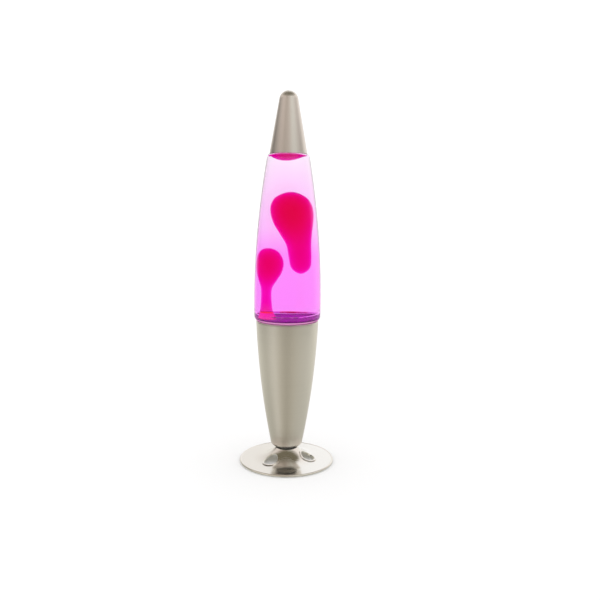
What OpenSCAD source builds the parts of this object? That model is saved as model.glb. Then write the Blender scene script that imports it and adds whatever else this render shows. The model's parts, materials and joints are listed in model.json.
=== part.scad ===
// Lava lamp: a wax and liquid bottle that stands in a spun metal base on a flared foot.
// Millimetres, +Z up. The origin is the centre of the foot on the table, and -Y is the front.

/* [Foot] */
// Diameter over the foot's rolled edge
foot_d = 106.5; // [104:0.5:112]
// Height of the foot's top disc, where the base stands on it
foot_h = 16.2; // [15:0.1:17]
// Diameter of each vent hole in the foot
vent_d = 16.8; // [12:0.2:18]
// Distance of the vent holes from the axis
vent_pitch_r = 24.3; // [24:0.1:26]
// Height of the rolled lip round each vent hole
vent_lip_h = 0.9; // [0.6:0.1:1.2]

/* [Base] */
// Wall thickness of the spun foot, base and cap
sheet_t = 1.2; // [0.8:0.1:1.4]
// Diameter of the base at its mouth
base_mouth_d = 69; // [68:0.5:70]
// Diameter of the base at its floor
base_floor_d = 35.8; // [34:0.2:37]
// Height of the base's rim above the table
base_rim_z = 162.5; // [161:0.1:162.5]
// How far the base's side bulges out from a straight cone
base_bulge = 2.7; // [2:0.1:3]

/* [Bottle] */
// Largest diameter of the glass
glass_d = 73.6; // [73:0.1:74]
// Wall thickness of the glass
glass_t = 2.6; // [2.2:0.1:3]
// Radius of the long curve of the glass's side
glass_curve_r = 941; // [930:1:955]
// Height of the liquid's surface in the neck
liquid_top_z = 356; // [354:0.5:360]

/* [Cap] */
// Diameter of the cap at its open end
cap_d = 40.8; // [40.4:0.1:41]
// Radius of the cap's round tip
cap_tip_r = 10.2; // [9:0.1:11]
// Height of the whole lamp
lamp_h = 410; // [406:0.5:414]

/* [Bulb and holder] */
// Diameter of the reflector bulb
bulb_d = 39; // [35:1:42]
// Height of the bulb's lowest point, where it meets the holder's contact
bulb_tip_z = 47; // [46:0.5:48]
// Outer diameter of the lampholder
holder_d = 26; // [25:0.5:28]
// Bore of the cord bushing at the bottom of the threaded tube
cord_bore_d = 5.8; // [5:0.1:6.4]

/* [Hidden] */

$fn = 72;
arc_steps = 14;    // straight steps in each long curve
corner_steps = 6;  // straight steps in each small rounding
seat = 0.05;       // space between pieces that are fixed together

// ---- foot ----
foot_r = foot_d / 2;
edge_bead_r = 1.2;
edge_bead_z = 1.7;
neck_r = 12.8;
flare_end = [38.5, 2.7];
flare_sag = 3.6;       // how hollow the flare is
vent_tilt = 26;        // lean of the flare's surface at the vents
vent_z = 5.8;          // height of the flare's surface at the vents
vent_turn = 106.4;     // direction of the first vent from +X
vent_count = 3;
vent_lip_steps = [[2.1, 0.5], [1.5, 1]];    // each step's width, and its share of the lip's height
pad_r = 4;
pad_pitch_r = 45.8;

// ---- neck joint ----
tube_r = 5;
tube_bore_r = 3.8;
tube_bottom_z = 8.5;
tube_top_z = 43;
tube_hole_r = 5.1;
spacer_r = 12.2;
spacer_h = 2.5;
floor_z = foot_h + spacer_h;
nut_af = 14;
nut_h = 4;
washer_r = 9.5;
washer_h = 1;

// ---- base ----
mouth_r = base_mouth_d / 2;
floor_r = base_floor_d / 2;
rim_bead_r = 1.1;
rim_bead_z = base_rim_z - rim_bead_r;
floor_corner = 4.5;

// ---- cord bushing ----
bushing_flange_r = 5;
bushing_flange_h = 1.3;
bushing_length = 7.3;

// ---- bulb ----
bulb_r = bulb_d / 2;
cap_shell_r = 6.9;
cap_shell_z = bulb_tip_z + 3.2;
cap_collar_z = bulb_tip_z + 19;
collar_r = 8;
bulb_face_z = bulb_tip_z + 67;
bulb_wide_z = bulb_tip_z + 54;
thread_pitch = 2.822;
thread_turns = 5;

// ---- lampholder ----
holder_r = holder_d / 2;
holder_bottom_z = 38;
holder_floor_z = 44.5;
holder_top_z = bulb_tip_z + 18.5;
shell_inner_r = 7.4;
shell_t = 0.5;
plunger_r = 1.5;
plunger_fit = 0.06;
contact_r = 3;
contact_h = 0.8;
terminal_x = holder_r - 2.6;
terminal_shank_r = 1.6;

// ---- bottle ----
glass_r = glass_d / 2;
belly_z = 180;         // height of the glass's widest place
bottom_z = 162.5;
bottom_corner_r = 5.2;
shoulder_z = 341.2;
shoulder_corner_r = 2.2;
neck_outer_r = 12.6;
neck_bore_r = 8.5;
neck_start_z = 349.5;
lip_z = 366;
lip_r = 13.3;
lip_h = 4;
punt_h = 2.5;          // how far the bottle's floor is domed up
floor_glass_t = 3.2;

// ---- crown cap and top cap ----
crown_sheet = 0.5;
crown_liner_h = 0.8;
crown_skirt_h = 6;
crown_top_z = lip_z + crown_liner_h + crown_sheet;
crown_flutes = 21;
cap_bottom_z = 343.8;
cap_tip_centre_z = lamp_h - cap_tip_r;

// ---- shapes used by several pieces ----

// Points on a circular arc from a to b that bulges to the left of the way from a to b.
function arc(a, b, bulge, steps = arc_steps) =
    let (
        half = norm(b - a) / 2,
        r = (half * half + bulge * bulge) / (2 * bulge),
        left = [a.y - b.y, b.x - a.x] / (2 * half),
        centre = (a + b) / 2 - left * (r - bulge),
        start = atan2(a.y - centre.y, a.x - centre.x),
        sweep = 2 * asin(half / r)
    )
    [for (i = [0 : steps]) centre + abs(r) * [cos(start - sweep * i / steps), sin(start - sweep * i / steps)]];

// Points on a circle's arc from one angle to another.
function round_corner(centre, r, from, to, steps = corner_steps) =
    [for (i = [0 : steps]) let (t = from + (to - from) * i / steps) centre + r * [cos(t), sin(t)]];

function shifted(points, by) = [for (p = points) p + by];
function backwards(points) = [for (i = [len(points) - 1 : -1 : 0]) points[i]];

module ring(r, bore_r, h, z = 0) {
    translate([0, 0, z])
        difference() {
            cylinder(r = r, h = h);
            translate([0, 0, -1]) cylinder(r = bore_r, h = h + 2);
        }
}

module hex_nut(z) {
    translate([0, 0, z])
        difference() {
            cylinder(d = nut_af / cos(30), h = nut_h, $fn = 6);
            translate([0, 0, -1]) cylinder(r = tube_hole_r, h = nut_h + 2);
        }
}

// A round wire wound as a helix about the z axis, from height z up.
module helix_wire(coil_r, wire_r, turns, pitch, z, steps_per_turn = 20, sides = 8) {
    rings = ceil(turns * steps_per_turn);
    points = [
        for (i = [0 : rings], k = [0 : sides - 1])
            let (turn = 360 * i / steps_per_turn, side = 360 * k / sides, r = coil_r + wire_r * cos(side))
            [r * cos(turn), r * sin(turn), z + pitch * i / steps_per_turn + wire_r * sin(side)]
    ];
    tube_skin(points, rings, sides);
}

// Closes rings of points, each with the same number of sides, into one solid.
module tube_skin(points, rings, sides) {
    walls = [
        for (i = [0 : rings - 1], k = [0 : sides - 1])
            let (a = i * sides + k, b = i * sides + (k + 1) % sides)
            each [[a, b, a + sides], [b, b + sides, a + sides]]
    ];
    first_end = [for (k = [sides - 1 : -1 : 0]) k];
    last_end = [for (k = [0 : sides - 1]) rings * sides + k];
    polyhedron(points, concat(walls, [first_end, last_end]));
}

// One coordinate of a smooth curve through b and c, with a and d as their outer neighbours.
function smooth(a, b, c, d, t) =
    b + t * ((c - a) / 2 + t * (a - 2.5 * b + 2 * c - d / 2 + t * ((d - a) / 2 + 1.5 * (b - c))));

// A blob of wax: stations of [x, y, z, radius] from the bottom up. An end with a small
// radius closes as a round pole, and any other end is flat.
function beyond(end, next) =
    end[3] < 1 ? [next.x, next.y, next.z, -next[3]] : 2 * end - next;

module blob(stations, steps = 3, sides = 24) {
    last = len(stations) - 1;
    line = concat(
        [beyond(stations[0], stations[1])],
        stations,
        [beyond(stations[last], stations[last - 1])]
    );
    rows = concat(
        [
            for (i = [1 : last], j = [0 : steps - 1])
                smooth(line[i - 1], line[i], line[i + 1], line[i + 2], j / steps)
        ],
        [stations[last]]
    );
    points = [
        for (row = rows, k = [0 : sides - 1])
            [row.x + row[3] * cos(-360 * k / sides), row.y + row[3] * sin(-360 * k / sides), row.z]
    ];
    tube_skin(points, len(rows) - 1, sides);
}

// ---- foot ----

function flare(drop) = arc([neck_r, foot_h - drop], flare_end - [0, drop], -flare_sag);

module at_vents() {
    for (i = [0 : vent_count - 1])
        rotate(vent_turn + i * 360 / vent_count)
            translate([vent_pitch_r, 0, vent_z])
                rotate([0, vent_tilt, 0]) children();
}

module foot_sheet() {
    rotate_extrude()
        polygon(concat(
            [[tube_hole_r, foot_h]],
            flare(0),
            round_corner([foot_r - edge_bead_r, edge_bead_z], edge_bead_r, 130, -140, 2 * corner_steps),
            backwards(flare(sheet_t)),
            [[tube_hole_r, foot_h - sheet_t]]
        ));
}

// One step of the lips: what stands out of the flare within a distance of the vents' edges.
module vent_lip(width, height) {
    intersection() {
        rotate_extrude() polygon(concat(flare(-height), backwards(flare(sheet_t / 2))));
        at_vents() cylinder(r = vent_d / 2 + width, h = foot_h, center = true);
    }
}

module foot() {
    color("gainsboro")
        difference() {
            union() {
                foot_sheet();
                for (step = vent_lip_steps) vent_lip(step[0], step[1] * vent_lip_h);
            }
            at_vents() cylinder(d = vent_d, h = 2 * foot_h, center = true);
        }
}

// Four pads under the brim. Their tops follow its slope.
module rubber_feet() {
    brim_under = flare_end - [0, sheet_t + seat];
    bead_under = [foot_r - 2 * edge_bead_r, edge_bead_z - edge_bead_r];
    color("dimgray")
        intersection() {
            for (turn = [0 : 90 : 270])
                rotate(turn) translate([pad_pitch_r, 0, 0]) cylinder(r = pad_r, h = foot_h);
            rotate_extrude()
                polygon([[brim_under.x, 0], brim_under, bead_under, [bead_under.x, 0]]);
        }
}

// ---- neck joint ----

module neck_spacer() {
    color("silver") ring(spacer_r, tube_hole_r, spacer_h - 2 * seat, foot_h + seat);
}

module threaded_tube() {
    color("gold") ring(tube_r, tube_bore_r, tube_top_z - tube_bottom_z, tube_bottom_z);
}

module lower_washer() {
    color("silver") ring(washer_r, tube_hole_r, washer_h, foot_h - sheet_t - washer_h - seat);
}

module lower_nut() {
    color("gold") hex_nut(foot_h - sheet_t - washer_h - nut_h - 2 * seat);
}

module upper_washer() {
    color("silver") ring(washer_r, tube_hole_r, washer_h, floor_z + sheet_t + seat);
}

module upper_nut() {
    color("gold") hex_nut(floor_z + sheet_t + washer_h + 2 * seat);
}

// ---- base ----

function base_side(inset) =
    arc([floor_r - inset, floor_z + floor_corner], [mouth_r - inset, rim_bead_z - rim_bead_r], -base_bulge);

// The rounding between the base's floor and its side.
function floor_edge(inset) =
    round_corner([floor_r - floor_corner, floor_z + floor_corner], floor_corner - inset, -90, -6);

module base_cone() {
    color("silver")
        rotate_extrude()
            polygon(concat(
                [[tube_hole_r, floor_z]],
                floor_edge(0),
                base_side(0),
                round_corner([mouth_r - rim_bead_r, rim_bead_z], rim_bead_r, 0, 220, 2 * corner_steps),
                backwards(base_side(sheet_t)),
                backwards(floor_edge(sheet_t)),
                [[tube_hole_r, floor_z + sheet_t]]
            ));
}

// Lines the lower end of the threaded tube where the cord enters.
module cord_grommet() {
    color("dimgray")
        translate([0, 0, tube_bottom_z - bushing_flange_h])
            difference() {
                union() {
                    cylinder(r = bushing_flange_r, h = bushing_flange_h - seat);
                    cylinder(r = tube_bore_r - seat, h = bushing_length);
                }
                translate([0, 0, -1]) cylinder(d = cord_bore_d, h = bushing_length + 2);
            }
}

// ---- lampholder ----

module lampholder_body() {
    color("ivory")
        difference() {
            union() {
                translate([0, 0, holder_bottom_z]) cylinder(r1 = 9, r2 = holder_r, h = 4);
                translate([0, 0, holder_bottom_z + 4])
                    cylinder(r = holder_r, h = holder_top_z - holder_bottom_z - 4);
            }
            translate([0, 0, holder_bottom_z - 1]) cylinder(r = tube_hole_r, h = tube_top_z - holder_bottom_z + 1);
            translate([0, 0, tube_top_z - 1]) cylinder(r = plunger_r + plunger_fit, h = 4);
            translate([0, 0, holder_floor_z])
                cylinder(r = shell_inner_r + shell_t + seat, h = holder_top_z - holder_floor_z - 2);
            translate([0, 0, holder_floor_z]) cylinder(r = collar_r + 0.4, h = holder_top_z);
            for (side = [-1, 1])
                translate([side * terminal_x, 0, holder_bottom_z]) {
                    translate([-2.8, -2.6, -1]) cube([5.6, 5.2, 4]);
                    cylinder(r = terminal_shank_r + 0.1, h = 12);
                }
        }
}

module lampholder_shell() {
    color("goldenrod")
        ring(shell_inner_r + shell_t, shell_inner_r, holder_top_z - holder_floor_z - 3, holder_floor_z + 0.6);
}

module shell_wire_lug() {
    color("goldenrod")
        difference() {
            translate([-terminal_x - 2.3, -2.2, holder_bottom_z + 2.1]) cube([4.6, 4.4, 0.8]);
            translate([-terminal_x, 0, holder_bottom_z]) cylinder(r = terminal_shank_r + 0.05, h = 5);
        }
}

module terminal_screws() {
    color("silver")
        for (side = [-1, 1])
            translate([side * terminal_x, 0, holder_bottom_z])
                difference() {
                    union() {
                        translate([0, 0, 0.15]) cylinder(r = 2.3, h = 1.9);
                        translate([0, 0, 1]) cylinder(r = terminal_shank_r, h = 8);
                    }
                    translate([-3, -0.3, -0.5]) cube([6, 0.6, 1.4]);
                }
}

// The plunger slides in the holder's floor and follows the bulb's tip.
module centre_contact() {
    color("goldenrod") {
        translate([0, 0, bulb_tip_z - contact_h - 0.1]) cylinder(r = contact_r, h = contact_h);
        translate([0, 0, tube_top_z - 1.6]) cylinder(r = plunger_r, h = bulb_tip_z - tube_top_z + 1);
    }
}

module contact_spring() {
    spring_bottom = holder_floor_z + 0.3;
    spring_top = bulb_tip_z - contact_h - 0.4;
    turns = 2;
    color("silver")
        helix_wire(2.3, 0.22, turns, (spring_top - spring_bottom) / turns, spring_bottom, 16, 6);
}

// ---- bulb ----

module bulb_tip_contact() {
    color("silver")
        translate([0, 0, bulb_tip_z]) cylinder(r1 = 2.2, r2 = 2.8, h = 1);
}

module bulb_insulator() {
    color("black")
        translate([0, 0, bulb_tip_z + 1]) cylinder(r1 = 3.4, r2 = cap_shell_r - 0.9, h = 2.2);
}

// The thread's rounded ridges are rings, so that the bulb can turn in the holder's plain shell.
module bulb_screw_cap() {
    core_r = cap_shell_r - 0.45;
    ridge_r = 0.75;
    ridge_z = cap_shell_z + 1.6;
    color("silver")
        difference() {
            rotate_extrude() {
                polygon([[0, cap_shell_z], [core_r - 0.4, cap_shell_z], [core_r, cap_shell_z + 0.4],
                    [core_r, cap_collar_z - 1.5], [collar_r, cap_collar_z], [collar_r, cap_collar_z + 2.4],
                    [0, cap_collar_z + 2.4]]);
                for (i = [0 : thread_turns - 1])
                    translate([cap_shell_r - ridge_r, ridge_z + i * thread_pitch]) circle(r = ridge_r);
            }
            translate([0, 0, cap_shell_z + 0.5]) cylinder(r = core_r - 0.5, h = cap_collar_z - cap_shell_z + 4);
        }
}

function bulb_outline(inset) =
    let (
        stem_r = collar_r - 0.6 - inset,
        low = [stem_r, cap_collar_z + 2.4],
        wide = [bulb_r - inset, bulb_wide_z],
        face_edge = [bulb_r - 4.5 - inset, bulb_face_z - 2.6 - inset],
        face_top = [0, bulb_face_z - inset]
    )
    concat(
        [low],
        arc(low + [0, 5], wide, -2.2),
        arc(wide, face_edge, -1.9, corner_steps),
        arc(face_edge, face_top, -0.8, corner_steps)
    );

module bulb_glass() {
    wall = 0.8;
    color("whitesmoke", 0.6)
        rotate_extrude()
            polygon(concat(bulb_outline(0), backwards(bulb_outline(wall))));
}

module bulb_stem() {
    stem_z = cap_collar_z - 4;
    bead_z = stem_z + 20;
    wire_reach = 7;
    color("lightgray") {
        translate([0, 0, stem_z]) cylinder(r = 2.2, h = 20);
        translate([0, 0, bead_z]) sphere(r = 2.6);
        for (side = [-1, 1])
            translate([side * 1.2, 0, bead_z])
                rotate([0, side * atan2(wire_reach - 1.2, 12), 0])
                    cylinder(r = 0.35, h = norm([wire_reach - 1.2, 12]));
    }
}

module bulb_filament() {
    wire_reach = 7;
    filament_z = cap_collar_z + 28.4;
    color("gray")
        translate([-wire_reach, 0, filament_z])
            rotate([0, 90, 0]) helix_wire(0.6, 0.16, 8, 2 * wire_reach / 8, 0, 10, 5);
}

// ---- bottle ----

function side_r(z) = glass_r - glass_curve_r + sqrt(glass_curve_r * glass_curve_r - (z - belly_z) * (z - belly_z));

// The glass's outer side between its two corners, from the bottom up.
function bottle_side(inset) =
    [for (i = [0 : 2 * arc_steps])
        let (z = bottom_z + bottom_corner_r + (shoulder_z - bottom_z - bottom_corner_r) * i / (2 * arc_steps))
        [side_r(z) - inset, z]];

function bottle_outside() =
    let (
        side_foot_r = side_r(bottom_z + bottom_corner_r),
        shoulder_r = side_r(shoulder_z) - shoulder_corner_r,
        lip_base_z = lip_z - lip_h
    )
    concat(
        arc([0, bottom_z + punt_h], [side_foot_r - bottom_corner_r - 2, bottom_z + 0.3], 0.9),
        round_corner([side_foot_r - bottom_corner_r, bottom_z + bottom_corner_r], bottom_corner_r, -90, 0),
        bottle_side(0),
        round_corner([shoulder_r, shoulder_z], shoulder_corner_r, 10, 82),
        arc([neck_outer_r + 3, shoulder_z + 2.4], [neck_outer_r, neck_start_z], 0.9, corner_steps),
        [[neck_outer_r, lip_base_z], [lip_r, lip_base_z + 1], [lip_r, lip_z - 0.8], [lip_r - 0.8, lip_z]]
    );

// The room inside the glass, up to a height, kept clear of the glass by a space.
function bottle_inside(top_z, space) =
    let (
        inset = glass_t + space,
        rise = 2 * space,    // the floor's space, wide enough for its slope
        floor_inner_z = bottom_z + punt_h + floor_glass_t + rise,
        corner_z = bottom_z + bottom_corner_r,
        corner_r = bottom_corner_r - 1.4,
        foot_inner_r = side_r(corner_z) - inset,
        shoulder_inner_r = side_r(shoulder_z) - inset - 1
    )
    concat(
        arc([0, floor_inner_z], [foot_inner_r - corner_r - 1, floor_inner_z - 1.8], 0.6),
        round_corner([foot_inner_r - corner_r, corner_z + 1.4 + rise], corner_r, -85, 0),
        [for (p = bottle_side(inset)) if (p.y > corner_z + 2.2) p],
        arc(
            [shoulder_inner_r, shoulder_z - 0.2 - space],
            [neck_bore_r - space, neck_start_z + 2 - space],
            2.6, corner_steps
        ),
        [[neck_bore_r - space, top_z], [0, top_z]]
    );

module glass_bottle() {
    color("thistle", 0.35)
        difference() {
            rotate_extrude() polygon(concat(bottle_outside(), [[0, lip_z]]));
            rotate_extrude() polygon(bottle_inside(lip_z + 1, 0));
        }
}

module liquid() {
    color("violet", 0.5)
        difference() {
            rotate_extrude() polygon(bottle_inside(liquid_top_z, 3 * seat));
            wax_rising_solid();
            wax_top_solid();
            wax_blob_solid();
        }
}

module wire_coil() {
    color("gray") helix_wire(26, 0.7, 1.5, 1.1, bottom_z + punt_h + floor_glass_t + 0.4, 28, 6);
}

// A column that stands on the bottle's floor and swells into a round head.
module wax_rising_solid() {
    blob([
        [-19.2, -13.6, 168.7, 8.6],
        [-19.5, -13.9, 171.4, 7.6],
        [-19.8, -14.0, 176, 6.6],
        [-19.9, -14.0, 184, 5.7],
        [-19.9, -13.8, 193, 5.3],
        [-19.6, -12.8, 201, 6.0],
        [-18.4, -10.0, 209, 9.3],
        [-17.1, -7.4, 217, 12.2],
        [-16.4, -6.2, 226, 13.1],
        [-16.4, -6.0, 234, 11.4],
        [-16.6, -6.0, 240.2, 7.2],
        [-16.8, -6.0, 242.6, 0.3]
    ]);
}

// The cushion of wax that has gathered under the neck.
module wax_top_solid() {
    blob([
        [-2.0, 0, 335.2, 0.3],
        [-1.8, 0, 336.2, 6.5],
        [-1.2, 0, 338.8, 11.6],
        [-0.4, 0, 341.6, 14],
        [0, 0, 345.2, 9.4],
        [0, 0, 348.6, 6],
        [0, 0, 350.6, 0.3]
    ]);
}

// The large free drop, with its tail down to the right.
module wax_blob_solid() {
    blob([
        [11.0, 0, 214.8, 0.3],
        [10.9, 0, 217.6, 5.4],
        [10.7, 0, 223.5, 8.6],
        [10.2, 0, 233, 9.5],
        [9.0, 0, 246, 10.4],
        [6.6, 0, 257.5, 13.2],
        [4.6, 0, 268, 16.1],
        [3.4, 0, 279, 17.6],
        [2.6, 0, 289, 16.5],
        [2.3, 0, 297.5, 11.6],
        [2.4, 0, 302.4, 0.3]
    ]);
}

module wax_rising() {
    color("deeppink") wax_rising_solid();
}

module wax_top() {
    color("crimson") wax_top_solid();
}

module wax_blob() {
    color("crimson") wax_blob_solid();
}

// ---- closures ----

module crown_liner() {
    color("white")
        translate([0, 0, lip_z]) cylinder(r = lip_r - 1.5, h = crown_liner_h);
}

module crown_cap() {
    skirt_bottom_z = crown_top_z - crown_skirt_h;
    skirt_r = 14.5;
    color("silver")
        difference() {
            rotate_extrude()
                polygon(concat(
                    [[0, crown_top_z], [lip_r - 1.2, crown_top_z]],
                    [[lip_r + crown_sheet, crown_top_z - 1.3], [skirt_r, skirt_bottom_z]],
                    [[lip_r + 0.15, skirt_bottom_z], [lip_r + 0.05, crown_top_z - 1.6]],
                    [[lip_r - 1.4, crown_top_z - crown_sheet], [0, crown_top_z - crown_sheet]]
                ));
            for (i = [0 : crown_flutes - 1])
                rotate(i * 360 / crown_flutes)
                    translate([skirt_r + 0.35, 0, skirt_bottom_z - 1]) cylinder(r = 0.9, h = crown_skirt_h - 0.8);
        }
}

function cap_outline(inset) =
    let (lean = atan2(cap_d / 2 - cap_tip_r, cap_tip_centre_z - cap_bottom_z))
    concat(
        [[cap_d / 2 - inset, cap_bottom_z]],
        round_corner([0, cap_tip_centre_z], cap_tip_r - inset, lean, 90, arc_steps)
    );

module top_cap() {
    color("silver")
        rotate_extrude() polygon(concat(cap_outline(0), backwards(cap_outline(sheet_t))));
}

foot();
rubber_feet();
neck_spacer();
threaded_tube();
lower_washer();
lower_nut();
upper_washer();
upper_nut();
base_cone();
cord_grommet();
lampholder_body();
lampholder_shell();
shell_wire_lug();
terminal_screws();
centre_contact();
contact_spring();
bulb_tip_contact();
bulb_insulator();
bulb_screw_cap();
bulb_glass();
bulb_stem();
bulb_filament();
glass_bottle();
liquid();
wire_coil();
wax_rising();
wax_top();
wax_blob();
crown_liner();
crown_cap();
top_cap();
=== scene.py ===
import json
import math

import bmesh
import bpy
from mathutils import Euler, Matrix, Vector


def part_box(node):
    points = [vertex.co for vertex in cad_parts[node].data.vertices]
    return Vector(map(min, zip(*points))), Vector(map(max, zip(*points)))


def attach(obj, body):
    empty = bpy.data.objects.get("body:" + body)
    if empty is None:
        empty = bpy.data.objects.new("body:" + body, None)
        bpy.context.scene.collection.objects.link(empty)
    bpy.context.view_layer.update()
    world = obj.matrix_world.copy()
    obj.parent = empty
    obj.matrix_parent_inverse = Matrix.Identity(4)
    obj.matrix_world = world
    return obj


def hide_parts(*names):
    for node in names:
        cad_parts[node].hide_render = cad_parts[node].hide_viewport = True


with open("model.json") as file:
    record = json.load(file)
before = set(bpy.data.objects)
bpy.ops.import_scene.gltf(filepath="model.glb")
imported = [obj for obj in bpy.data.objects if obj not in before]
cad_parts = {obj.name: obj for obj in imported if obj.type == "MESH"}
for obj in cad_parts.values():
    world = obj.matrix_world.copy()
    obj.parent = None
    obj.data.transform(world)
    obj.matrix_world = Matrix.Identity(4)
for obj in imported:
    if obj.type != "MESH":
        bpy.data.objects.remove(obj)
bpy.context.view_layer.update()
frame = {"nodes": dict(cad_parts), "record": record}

MM = 0.001

# The camera: where it stands, how far down it looks and how much it leans.
CAMERA_DISTANCE = 0.765
CAMERA_HEIGHT = 0.298
CAMERA_SIDE = 0.0139
CAMERA_PITCH = 8.4
CAMERA_ROLL = 0.55
LENS_MM = 41.85

# The bottle's shape, in millimetres, as the CAD node has it.
bottle_low, bottle_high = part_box("glass_bottle")
BOTTLE_BOTTOM_Z = bottle_low.z / MM
BOTTLE_TOP_Z = bottle_high.z / MM
BOTTLE_R = bottle_high.x / MM
GLASS_T = 2.6
GLASS_CURVE_R = 941.0
BELLY_Z = 180.0
SHOULDER_Z = 341.2
SHOULDER_CORNER_R = 2.2
BOTTOM_CORNER_R = 5.2
PUNT_H = 2.5
FLOOR_GLASS_T = 3.2
FOOT_EDGE_H = 0.3        # how far the punt's edge is above the ground ring
CORNER_GLASS_T = 1.4     # how much tighter the corner is inside than outside
NECK_R = 12.6
NECK_BORE_R = 8.5
NECK_START_Z = 349.5
LIP_R = 13.3
LIP_H = 4.0
LIP_EDGE = 0.8
LIQUID_TOP_Z = 356.0
LIQUID_IN_GLASS = 0.3    # how far the liquid's skin lies in the glass, so that no film of air shows
# The matt ring's pink colour is painted light, the liquid's light in the glass's thick corner.
GROUND_RING_R = 30.0     # the ring the bottle stands on is ground matt, from this radius out
GROUND_RING_H = 2.4
STRAIGHT_SHOULDER_Z = SHOULDER_Z - 0.6    # above this the glass's inside bends no light

# The glass's materials: its outside first, then what parts of it have instead.
BOTTLE_LOOKS = ("clear_glass", "wet_glass", "painted_violet_shade", "matt_ring_painted_light", "matched_glass")

# The light bends at the glass's outside and where the glass meets the liquid. The liquid's skin bends
# nothing.
GLASS_IOR = 1.5
LIQUID_IOR = 1.34

SMOOTH_SIDES = 160

# How much green the liquid's skin lets through, by height in metres, and the heights that the ramp spans.
# The green falling away low down is painted shade.
LIQUID_GREENS = ((0.166, 0.4), (0.235, 0.42), (0.262, 0.72), (0.3, 0.86), (0.335, 1.0))
LIQUID_RAMP = (0.16, 0.36)

# Below this height the rising wax is opaque and glows with painted light.
MILKY_BELOW_Z = 173.6    # the wax column's foot would show the dark floor through it if it were clear

# What the metal mirrors all round, from behind by the left, the camera (0.5) and the right to behind,
# above and below the horizon.
UPPER_LIGHT = (
    (0.0, (245, 242, 238)), (0.12, (214, 206, 198)), (0.28, (228, 214, 204)), (0.36, (238, 222, 212)),
    (0.42, (206, 192, 180)), (0.52, (230, 216, 206)), (0.58, (255, 252, 244)), (0.65, (255, 252, 244)),
    (0.71, (240, 230, 222)), (0.85, (245, 237, 230)), (1.0, (245, 242, 238)),
)
LOWER_LIGHT = (
    (0.0, (240, 238, 228)), (0.15, (222, 220, 206)), (0.25, (212, 209, 194)), (0.36, (250, 246, 232)),
    (0.42, (222, 216, 198)), (0.5, (196, 190, 172)), (0.56, (214, 208, 190)), (0.62, (222, 218, 202)),
    (0.75, (226, 224, 211)), (0.9, (228, 226, 213)), (1.0, (240, 238, 228)),
)
# The dark room round the tent at the height of the horizon, all round but behind the lamp.
TENT_DOOR = (
    (0.0, (255, 255, 255)), (0.1, (255, 255, 255)), (0.17, (30, 28, 26)), (0.76, (30, 28, 26)),
    (0.84, (255, 255, 255)), (1.0, (255, 255, 255)),
)
# Where these lights meet, as the z of a direction.
DOOR_TOP = (0.28, 0.35)
DOOR_FOOT = (-0.2, -0.14)
HORIZON = (-0.15, 0.15)
SINK = (-0.45, -0.27)         # the lower light darkens here, down to a share of itself
SINK_LIGHT = 0.69
CEILING = (108, 100, 80)      # the room over the camera, which the hollow foot mirrors
CEILING_EDGE = (0.55, 0.8)
CEILING_BACK = (0.3, 0.5)     # where it ends behind the lamp, as the y of a direction
TENT_MIRRORED = 1.06          # how bright the tent is in mirrors
TENT_WHITE = 1.1              # and how bright it is to look at


# ---- outlines and meshes ----

def arc(a, b, bulge, steps=24):
    """Points on a circular arc from a to b that bulges to the left of the way from a to b."""
    a, b = Vector(a), Vector(b)
    half = (b - a).length / 2
    r = (half * half + bulge * bulge) / (2 * bulge)
    left = Vector((a.y - b.y, b.x - a.x)) / (2 * half)
    centre = (a + b) / 2 - left * (r - bulge)
    start = math.atan2(a.y - centre.y, a.x - centre.x)
    sweep = 2 * math.asin(half / r)
    turns = [start - sweep * i / steps for i in range(steps + 1)]
    return [(centre.x + abs(r) * math.cos(t), centre.y + abs(r) * math.sin(t)) for t in turns]


def corner(centre, r, start, end, steps=12):
    """Points on a circle's arc from one angle to another, in degrees."""
    turns = [math.radians(start + (end - start) * i / steps) for i in range(steps + 1)]
    return [(centre[0] + r * math.cos(t), centre[1] + r * math.sin(t)) for t in turns]


def new_piece(name, mesh, body, material):
    piece = bpy.data.objects.new(name, mesh)
    bpy.context.scene.collection.objects.link(piece)
    mesh.materials.append(material)
    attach(piece, body)
    return piece


def smooth_mesh(name, bm, sharp_angle=35):
    bmesh.ops.recalc_face_normals(bm, faces=bm.faces)
    mesh = bpy.data.meshes.new(name)
    bm.to_mesh(mesh)
    bm.free()
    mesh.shade_smooth()
    mesh.set_sharp_from_angle(angle=math.radians(sharp_angle))
    return mesh


def lathe(name, outline, sides=SMOOTH_SIDES):
    """A closed mesh: an outline in millimetres, turned about the z axis. Points with r 0 become poles."""
    bm = bmesh.new()
    rings = []
    for r, z in outline:
        if r < 1e-6:
            rings.append([bm.verts.new((0, 0, z * MM))])
            continue
        turns = [math.tau * k / sides for k in range(sides)]
        rings.append([bm.verts.new((r * MM * math.cos(t), r * MM * math.sin(t), z * MM)) for t in turns])
    closed = len(rings[0]) > 1 or len(rings[-1]) > 1
    pairs = list(zip(rings, rings[1:])) + ([(rings[-1], rings[0])] if closed else [])
    for lower, upper in pairs:
        for k in range(sides):
            ring = [lower[k % len(lower)], lower[(k + 1) % len(lower)],
                    upper[(k + 1) % len(upper)], upper[k % len(upper)]]
            face = list(dict.fromkeys(ring))
            if len(face) > 2:
                bm.faces.new(face)
    return smooth_mesh(name, bm)


def smooth_point(a, b, c, d, t):
    """A point of a smooth curve through b and c, with a and d as their outer neighbours."""
    return [
        q + t * ((r - p) / 2 + t * (p - 2.5 * q + 2 * r - s / 2 + t * ((s - p) / 2 + 1.5 * (q - r))))
        for p, q, r, s in zip(a, b, c, d)
    ]


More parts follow.
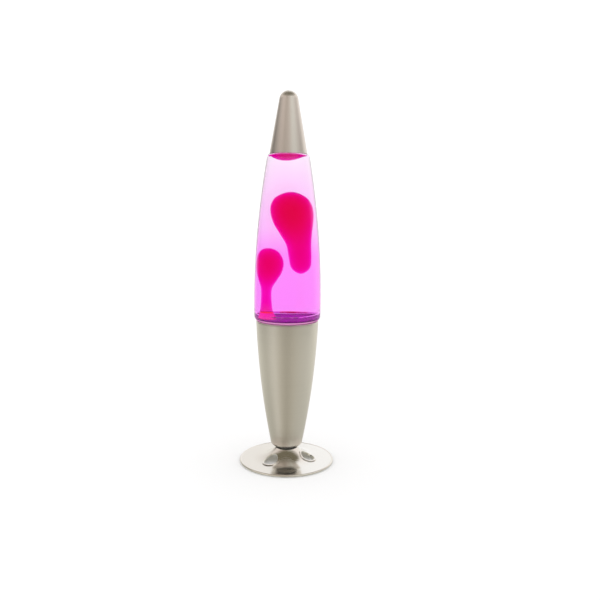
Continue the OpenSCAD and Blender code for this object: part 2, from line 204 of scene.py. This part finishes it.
def blob(name, stations, steps=10, sides=72):
    """A blob of wax from (x, y, z, radius) stations in millimetres. An end with a small radius is round."""
    def beyond(end, following):
        if end[3] < 1:
            return [*following[:3], -following[3]]
        return [2 * p - q for p, q in zip(end, following)]

    line = [beyond(stations[0], stations[1]), *stations, beyond(stations[-1], stations[-2])]
    rows = [
        smooth_point(*line[i - 1:i + 3], j / steps)
        for i in range(1, len(stations))
        for j in range(steps)
    ] + [list(stations[-1])]
    bm = bmesh.new()
    rings = []
    for x, y, z, r in rows:
        turns = [math.tau * k / sides for k in range(sides)]
        rings.append([
            bm.verts.new(((x + r * math.cos(t)) * MM, (y + r * math.sin(t)) * MM, z * MM)) for t in turns
        ])
    for lower, upper in zip(rings, rings[1:]):
        for k in range(sides):
            bm.faces.new((lower[k], lower[(k + 1) % sides], upper[(k + 1) % sides], upper[k]))
    bm.faces.new(rings[0])
    bm.faces.new(rings[-1])
    return smooth_mesh(name, bm, 60)


# ---- materials ----

def principled(name, **values):
    mat = bpy.data.materials.new(name)
    mat.use_nodes = True
    shader = mat.node_tree.nodes["Principled BSDF"]
    for key, value in values.items():
        shader.inputs[key.replace("_", " ")].default_value = value
    return mat, mat.node_tree, shader


def node(tree, kind, **values):
    made = tree.nodes.new(kind)
    for key, value in values.items():
        name = key.replace("_", " ")
        if name in made.inputs:
            made.inputs[name].default_value = value
        else:
            setattr(made, key, value)
    return made


def rgba(r, g, b):
    """A linear colour from three 8-bit sRGB values."""
    def linear(v):
        v /= 255
        return v / 12.92 if v <= 0.04045 else ((v + 0.055) / 1.055) ** 2.4
    return (linear(r), linear(g), linear(b), 1.0)


def ranged(tree, value, low, high, at_low=0.0, at_high=1.0):
    """Goes from at_low to at_high as the value goes from low to high, and stays there beyond them."""
    made = node(tree, "ShaderNodeMapRange", From_Min=low, From_Max=high, To_Min=at_low, To_Max=at_high)
    tree.links.new(value, made.inputs["Value"])
    return made.outputs["Result"]


def product(tree, a, b):
    made = node(tree, "ShaderNodeMath", operation="MULTIPLY")
    tree.links.new(a, made.inputs[0])
    tree.links.new(b, made.inputs[1])
    return made.outputs["Value"]


def ramp(tree, value, stops):
    """A colour ramp over a value from 0 to 1, from (position, linear colour) stops."""
    made = node(tree, "ShaderNodeValToRGB")
    elements = made.color_ramp.elements
    for position, colour in stops:
        elements.new(position).color = colour
    elements.remove(elements[0])
    elements.remove(elements[-1])
    tree.links.new(value, made.inputs["Fac"])
    return made.outputs["Color"]


def light_ramp(tree, value, stops):
    """A colour ramp from (position, 8-bit sRGB colour) stops."""
    return ramp(tree, value, [(position, rgba(*colour)) for position, colour in stops])


def mirror_rays(tree):
    """1 for rays that a surface has mirrored, 0 for all others, those seen through glass among them."""
    rays = node(tree, "ShaderNodeLightPath")
    only = node(tree, "ShaderNodeMath", operation="SUBTRACT", use_clamp=True)
    tree.links.new(rays.outputs["Is Glossy Ray"], only.inputs[0])
    tree.links.new(rays.outputs["Is Transmission Ray"], only.inputs[1])
    return only.outputs["Value"]


def show_mirrored(tree, seen, mirrored, output):
    """Mirrored rays meet one shader, and all others the one that is seen."""
    mix = node(tree, "ShaderNodeMixShader")
    tree.links.new(mirror_rays(tree), mix.inputs["Fac"])
    tree.links.new(seen, mix.inputs[1])
    tree.links.new(mirrored, mix.inputs[2])
    tree.links.new(mix.outputs["Shader"], tree.nodes[output].inputs["Surface"])


def spun_metal(name, colour, roughness, line_scale, line_depth):
    """Metal turned on a lathe: fine rings about the z axis in the bump and the roughness."""
    mat, tree, shader = principled(name, Metallic=1.0, Roughness=roughness)
    link = tree.links.new
    place = node(tree, "ShaderNodeTexCoord")
    rings = node(tree, "ShaderNodeMapping")
    rings.inputs["Scale"].default_value = (12, 12, line_scale)
    link(place.outputs["Object"], rings.inputs["Vector"])
    grain = node(tree, "ShaderNodeTexNoise", Scale=1.0, Detail=3.0)
    link(rings.outputs["Vector"], grain.inputs["Vector"])
    shade = node(tree, "ShaderNodeVectorMath", operation="SCALE")
    shade.inputs[0].default_value = colour[:3]
    link(ranged(tree, grain.outputs["Fac"], 0.0, 1.0, 0.97, 1.02), shade.inputs["Scale"])
    link(shade.outputs["Vector"], shader.inputs["Base Color"])
    rough = ranged(tree, grain.outputs["Fac"], 0.0, 1.0, roughness * 0.85, roughness * 1.15)
    link(rough, shader.inputs["Roughness"])
    bump = node(tree, "ShaderNodeBump", Strength=0.4, Distance=line_depth)
    link(grain.outputs["Fac"], bump.inputs["Height"])
    link(bump.outputs["Normal"], shader.inputs["Normal"])
    return mat


def add_absorption(mat, colour, density):
    tree = mat.node_tree
    absorb = node(tree, "ShaderNodeVolumeAbsorption", Density=density)
    absorb.inputs["Color"].default_value = colour
    tree.links.new(absorb.outputs["Volume"], tree.nodes["Material Output"].inputs["Volume"])


def clear(name, ior):
    mat, _, shader = principled(name, Transmission_Weight=1.0, Roughness=0.0, IOR=ior)
    shader.inputs["Base Color"].default_value = (1, 1, 1, 1)
    return mat


def violet_liquid():
    """Liquid whose violet deepens towards the bottle's floor, a painted shade for the dimmer light low in
    it.
    """
    mat, tree, shader = principled("violet_liquid", Transmission_Weight=1.0, Roughness=0.0, IOR=1.0)
    place = node(tree, "ShaderNodeTexCoord")
    split = node(tree, "ShaderNodeSeparateXYZ")
    tree.links.new(place.outputs["Object"], split.inputs["Vector"])
    low, high = LIQUID_RAMP
    stops = [((z - low) / (high - low), (1.0, green, 1.0, 1.0)) for z, green in LIQUID_GREENS]
    painted_depth_shade = ramp(tree, ranged(tree, split.outputs["Z"], low, high), stops)
    tree.links.new(painted_depth_shade, shader.inputs["Base Color"])
    add_absorption(mat, (0.97, 0.0, 0.97, 1.0), 6.5)
    return mat


def clear_wax(name, colour):
    mat = clear(name, 1.03)
    add_absorption(mat, colour, 460.0)
    return mat


def plain(name, colour, roughness, metallic=0.0, specular=0.5):
    """One colour all over, with a fine mottle in the roughness."""
    mat, tree, shader = principled(name, Metallic=metallic, Specular_IOR_Level=specular)
    shader.inputs["Base Color"].default_value = colour
    grain = node(tree, "ShaderNodeTexNoise", Scale=400.0, Detail=2.0)
    place = node(tree, "ShaderNodeTexCoord")
    tree.links.new(place.outputs["Object"], grain.inputs["Vector"])
    rough = ranged(tree, grain.outputs["Fac"], 0.0, 1.0, roughness * 0.8, roughness * 1.2)
    tree.links.new(rough, shader.inputs["Roughness"])
    return mat


def milky_wax_painted_glow():
    """Opaque wax with a painted glow, standing in for the bulb's light in it."""
    mat = plain("milky_wax_painted_glow", (0.98, 0.0, 0.42, 1.0), 0.8, specular=0.0)
    shader = mat.node_tree.nodes["Principled BSDF"]
    shader.inputs["Emission Color"].default_value = (1.0, 0.0, 0.45, 1.0)
    shader.inputs["Emission Strength"].default_value = 0.4
    return mat


MATERIALS = {
    "satin_aluminium": spun_metal("satin_aluminium", rgba(232, 228, 222), 0.34, 900, 0.00004),
    "polished_aluminium": spun_metal("polished_aluminium", rgba(238, 236, 232), 0.16, 500, 0.00002),
    "rubber": plain("rubber", rgba(40, 40, 40), 0.7),
    "brass": plain("brass", rgba(214, 182, 110), 0.3, 1.0),
    "zinc_steel": plain("zinc_steel", rgba(200, 202, 204), 0.3, 1.0),
    # On the neck spacer this dark plastic is painted shade, for the shade in the neck between the cone and
    # the foot.
    "grommet_plastic": plain("grommet_plastic", rgba(44, 44, 44), 0.5),
    "holder_plastic": plain("holder_plastic", rgba(222, 217, 202), 0.4),
    "bulb_metal": plain("bulb_metal", rgba(210, 210, 206), 0.25, 1.0),
    "black_glass": plain("black_glass", rgba(20, 20, 20), 0.1),
    "bulb_glass": plain("bulb_glass", rgba(232, 232, 228), 0.2, 0.6),
    "stem_glass": plain("stem_glass", rgba(220, 224, 224), 0.1),
    "filament_wire": plain("filament_wire", rgba(120, 118, 115), 0.4, 1.0),
    "clear_glass": clear("clear_glass", GLASS_IOR),
    "wet_glass": clear("wet_glass", GLASS_IOR / LIQUID_IOR),
    "matched_glass": clear("matched_glass", 1.0),
    # Painted shade: an opaque violet sheet for the dim, liquid-tinted floor of the bottle.
    "painted_violet_shade": plain("painted_violet_shade", (0.7, 0.0, 0.76, 1.0), 0.8, specular=0.0),
    # Painted light: the pink of the liquid's light, on the bottle's matt ring.
    "matt_ring_painted_light": plain("matt_ring_painted_light", (0.72, 0.28, 0.58, 1.0), 0.8, specular=0.0),
    "liquid": violet_liquid(),
    "coil_wire": plain("coil_wire", rgba(253, 253, 253), 0.12, 1.0),
    "pink_wax": clear_wax("pink_wax", (0.984, 0.0, 0.83, 1.0)),
    # The glow is painted light.
    "milky_wax_painted_glow": milky_wax_painted_glow(),
    # A retinted copy of the pink wax for the top blob, painted light that makes up for the cap's shade on
    # it.
    "top_wax_painted_light": clear_wax("top_wax_painted_light", (0.96, 0.0, 0.86, 1.0)),
    "liner_plastic": plain("liner_plastic", rgba(220, 220, 215), 0.6),
    "crown_tin": plain("crown_tin", rgba(215, 210, 200), 0.3, 1.0),
    # Painted light: a pale pink in place of the shade inside the cap.
    "pale_inside_painted_light": plain("pale_inside_painted_light", rgba(250, 238, 246), 0.5),
}


def dress_cad_nodes():
    """Every CAD node gets its slot's material, and the cap's inside gets a pale pink, painted light in place
    of its shade.
    """
    slots = {s["node"]: s["material_slot"] for s in frame["record"]["subparts"]}
    for name, cad in frame["nodes"].items():
        cad.data.materials.clear()
        cad.data.materials.append(MATERIALS["pink_wax" if slots[name] == "wax" else slots[name]])
        cad.data.polygons.foreach_set("material_index", [0] * len(cad.data.polygons))
    cap = frame["nodes"]["top_cap"].data
    cap.materials.append(MATERIALS["pale_inside_painted_light"])
    # The cap's inside faces get the pale pink painted light.
    for face in cap.polygons:
        faces_inwards = face.center.xy.dot(face.normal.xy) < 0
        face.material_index = int(faces_inwards)


# ---- bottle ----

def side_r(z, inset=0.0):
    """The glass's radius at a height, less an inset."""
    return BOTTLE_R - GLASS_CURVE_R + math.sqrt(GLASS_CURVE_R ** 2 - (z - BELLY_Z) ** 2) - inset


def side(inset, low, high, steps=48):
    return [(side_r(z, inset), z) for z in [low + (high - low) * i / steps for i in range(steps + 1)]]


def bottle_outside():
    corner_z = BOTTLE_BOTTOM_Z + BOTTOM_CORNER_R
    corner_r = side_r(corner_z) - BOTTOM_CORNER_R
    shoulder_r = side_r(SHOULDER_Z) - SHOULDER_CORNER_R
    return [
        *arc((0, BOTTLE_BOTTOM_Z + PUNT_H), (corner_r - 2, BOTTLE_BOTTOM_Z + FOOT_EDGE_H), 0.9),
        *corner((corner_r, corner_z), BOTTOM_CORNER_R, -90, 0),
        *side(0, corner_z, SHOULDER_Z)[1:],
        *corner((shoulder_r, SHOULDER_Z), SHOULDER_CORNER_R, 10, 82),
        *arc((NECK_R + 3, SHOULDER_Z + 2.4), (NECK_R, NECK_START_Z), 0.9),
        (NECK_R, BOTTLE_TOP_Z - LIP_H),
        (LIP_R, BOTTLE_TOP_Z - LIP_H + 1),
        (LIP_R, BOTTLE_TOP_Z - LIP_EDGE),
        (LIP_R - LIP_EDGE, BOTTLE_TOP_Z),
    ]


def bottle_inside(top, space):
    """The outline of the room in the glass up to a height. A negative space lies in the glass."""
    inset = GLASS_T + space
    floor_z = BOTTLE_BOTTOM_Z + PUNT_H + FLOOR_GLASS_T + space
    corner_z = BOTTLE_BOTTOM_Z + BOTTOM_CORNER_R
    corner_r = BOTTOM_CORNER_R - CORNER_GLASS_T
    foot_r = side_r(corner_z, inset)
    shoulder_r = side_r(SHOULDER_Z, inset + 1)
    return [
        *arc((0, floor_z), (foot_r - corner_r - 1, floor_z - 1.8), 0.6),
        *corner((foot_r - corner_r, corner_z + CORNER_GLASS_T), corner_r, -85, 0),
        *side(inset, corner_z + CORNER_GLASS_T + 1, SHOULDER_Z - 1),
        *arc((shoulder_r, SHOULDER_Z - 0.2), (NECK_BORE_R - space, NECK_START_Z + 2), 2.6),
        (NECK_BORE_R - space, top),
    ]


def inside_look(face):
    """What a face of the bottle's room is made of."""
    # The room's floor faces get the opaque painted violet shade.
    if face.normal.z > 0.6:
        return "painted_violet_shade"
    if face.center.z > LIQUID_TOP_Z * MM:
        return "clear_glass"
    return "matched_glass" if face.center.z > STRAIGHT_SHOULDER_Z * MM else "wet_glass"


# The ring the bottle stands on gets the matt material with the painted pink light.
def outside_look(face):
    ground_z = (BOTTLE_BOTTOM_Z + GROUND_RING_H) * MM
    on_ring = face.center.z < ground_z and math.hypot(*face.center.xy) > GROUND_RING_R * MM
    return "matt_ring_painted_light" if on_ring else "clear_glass"


def make_bottle():
    outside = bottle_outside()
    mesh = lathe("bottle_glass", outside + bottle_inside(BOTTLE_TOP_Z, 0)[::-1])
    piece = new_piece("bottle_glass", mesh, "bottle", MATERIALS[BOTTLE_LOOKS[0]])
    for look in BOTTLE_LOOKS[1:]:
        mesh.materials.append(MATERIALS[look])
    inside_from = len(outside) * SMOOTH_SIDES
    for face in mesh.polygons:
        look = inside_look(face) if face.index >= inside_from else outside_look(face)
        face.material_index = BOTTLE_LOOKS.index(look)
    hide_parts("glass_bottle")


def make_liquid():
    outline = bottle_inside(LIQUID_TOP_Z, -LIQUID_IN_GLASS) + [(0, LIQUID_TOP_Z)]
    mesh = lathe("violet_liquid", outline)
    piece = new_piece("violet_liquid", mesh, "bottle", MATERIALS["liquid"])
    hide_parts("liquid")


# ---- wax ----

RISING_STATIONS = [
    (-18.9, -13.3, 167.4, 10.0), (-19.3, -13.7, 170.6, 8.1), (-19.8, -14.0, 176, 6.6),
    (-19.9, -14.0, 184, 5.7), (-19.9, -13.8, 193, 5.3), (-19.6, -12.8, 201, 6.0),
    (-18.4, -10.0, 209, 9.3), (-17.1, -7.4, 217, 12.2), (-16.4, -6.2, 226, 13.1),
    (-16.4, -6.0, 234, 11.4), (-16.6, -6.0, 240.2, 7.2), (-16.8, -6.0, 242.6, 0.3),
]
TOP_STATIONS = [
    (-2.0, 0, 335.2, 0.3), (-1.8, 0, 336.2, 6.5), (-1.2, 0, 338.8, 11.6), (-0.4, 0, 341.6, 14),
    (0, 0, 345.2, 9.4), (0, 0, 348.6, 6), (0, 0, 350.6, 0.3),
]
DROP_STATIONS = [
    (11.0, 0, 214.8, 0.3), (10.9, 0, 217.6, 5.4), (10.7, 0, 223.5, 8.6), (10.2, 0, 233, 9.5),
    (9.0, 0, 246, 10.4), (6.6, 0, 257.5, 13.2), (4.6, 0, 268, 16.1), (3.4, 0, 279, 17.6),
    (2.6, 0, 289, 16.5), (2.3, 0, 297.5, 11.6), (2.4, 0, 302.4, 0.3),
]


def add_milky_foot(mesh):
    # The foot gets the opaque wax with the painted glow.
    mesh.materials.append(MATERIALS["milky_wax_painted_glow"])
    for face in mesh.polygons:
        face.material_index = int(face.center.z < MILKY_BELOW_Z * MM)


def make_wax():
    for name, stations, body, cad, look in (
        ("rising_wax", RISING_STATIONS, "bottle", "wax_rising", "pink_wax"),
        ("top_wax", TOP_STATIONS, "bottle", "wax_top", "top_wax_painted_light"),
        ("wax_drop_skin", DROP_STATIONS, "wax_drop", "wax_blob", "pink_wax"),
    ):
        piece = new_piece(name, blob(name, stations), body, MATERIALS[look])
        if stations is RISING_STATIONS:
            add_milky_foot(piece.data)
        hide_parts(cad)


# ---- studio ----

def make_camera():
    data = bpy.data.cameras.new("camera")
    data.lens = LENS_MM
    data.sensor_width = 36.0
    data.clip_start = 0.01
    data.clip_end = 50
    camera = bpy.data.objects.new("camera", data)
    camera.location = (CAMERA_SIDE, -CAMERA_DISTANCE, CAMERA_HEIGHT)
    look = Euler((math.radians(90 - CAMERA_PITCH), 0, 0)).to_matrix()
    lean = Matrix.Rotation(math.radians(CAMERA_ROLL), 3, "Z")
    camera.rotation_euler = (look @ lean).to_euler()
    bpy.context.scene.collection.objects.link(camera)
    bpy.context.scene.camera = camera


def make_floor():
    """A pale floor, which the metal doesn't mirror."""
    mesh = bpy.data.meshes.new("floor")
    half = 6.0
    corners = [(-half, -half, 0), (half, -half, 0), (half, half, 0), (-half, half, 0)]
    mesh.from_pydata(corners, [], [(0, 1, 2, 3)])
    floor = bpy.data.objects.new("floor", mesh)
    bpy.context.scene.collection.objects.link(floor)
    mat, tree, shader = principled("floor", Roughness=0.9, Specular_IOR_Level=0.1)
    shader.inputs["Base Color"].default_value = (0.97, 0.97, 0.97, 1)
    gone = node(tree, "ShaderNodeBsdfTransparent")
    show_mirrored(tree, shader.outputs["BSDF"], gone.outputs["BSDF"], "Material Output")
    mesh.materials.append(mat)


def turn_about_z(tree, split):
    """A direction's turn about the z axis: 0 is behind, 0.25 the left, 0.5 the camera and 0.75 the right."""
    back = node(tree, "ShaderNodeMath", operation="MULTIPLY")
    back.inputs[1].default_value = -1.0
    tree.links.new(split.outputs["Y"], back.inputs[0])
    turn = node(tree, "ShaderNodeMath", operation="ARCTAN2")
    tree.links.new(split.outputs["X"], turn.inputs[0])
    tree.links.new(back.outputs["Value"], turn.inputs[1])
    return ranged(tree, turn.outputs["Value"], -math.pi, math.pi)


def mixed(tree, amount, first, second, blend_type="MIX"):
    """A mix of two colours, of which the second is a socket or the same all over."""
    made = node(tree, "ShaderNodeMixRGB", blend_type=blend_type)
    tree.links.new(amount, made.inputs["Fac"])
    tree.links.new(first, made.inputs["Color1"])
    if isinstance(second, tuple):
        made.inputs["Color2"].default_value = second
    else:
        tree.links.new(second, made.inputs["Color2"])
    return made.outputs["Color"]


def tent_walls(tree, around, height):
    """Soft bands of light, which darken towards the floor."""
    lower = light_ramp(tree, around, LOWER_LIGHT)
    upper = light_ramp(tree, around, UPPER_LIGHT)
    sunk = node(tree, "ShaderNodeVectorMath", operation="SCALE")
    tree.links.new(mixed(tree, ranged(tree, height, *HORIZON), lower, upper), sunk.inputs[0])
    tree.links.new(ranged(tree, height, *SINK, SINK_LIGHT, 1.0), sunk.inputs["Scale"])
    return sunk.outputs["Vector"]


def with_door(tree, walls, around, height):
    """The dark room at the height of the horizon, past the tent's edges."""
    below_top = ranged(tree, height, *DOOR_TOP, 1.0, 0.0)
    amount = product(tree, below_top, ranged(tree, height, *DOOR_FOOT))
    return mixed(tree, amount, walls, light_ramp(tree, around, TENT_DOOR), "MULTIPLY")


def with_ceiling(tree, walls, depth, height):
    """The dark ceiling, which ends a little behind the lamp."""
    in_front = ranged(tree, depth, *CEILING_BACK, 1.0, 0.0)
    amount = product(tree, ranged(tree, height, *CEILING_EDGE), in_front)
    return mixed(tree, amount, walls, rgba(*CEILING))


def make_world():
    """A light tent: white to look at and through, with bands of light and shade for the metal to mirror."""
    world = bpy.data.worlds.new("studio")
    world.use_nodes = True
    tree = world.node_tree
    place = node(tree, "ShaderNodeTexCoord")
    split = node(tree, "ShaderNodeSeparateXYZ")
    tree.links.new(place.outputs["Generated"], split.inputs["Vector"])
    around = turn_about_z(tree, split)
    height = split.outputs["Z"]
    walls = tent_walls(tree, around, height)
    walls = with_door(tree, walls, around, height)
    walls = with_ceiling(tree, walls, split.outputs["Y"], height)
    shade = tree.nodes["Background"]
    shade.inputs["Strength"].default_value = TENT_MIRRORED
    tree.links.new(walls, shade.inputs["Color"])
    white = node(tree, "ShaderNodeBackground", Strength=TENT_WHITE)
    white.inputs["Color"].default_value = (1, 1, 1, 1)
    show_mirrored(tree, white.outputs["Background"], shade.outputs["Background"], "World Output")
    bpy.context.scene.world = world


dress_cad_nodes()
make_bottle()
make_liquid()
make_wax()
make_floor()
make_world()
make_camera()
bpy.context.scene.view_settings.view_transform = "Standard"
bpy.context.scene.cycles.transmission_bounces = 16
bpy.context.scene.cycles.max_bounces = 20
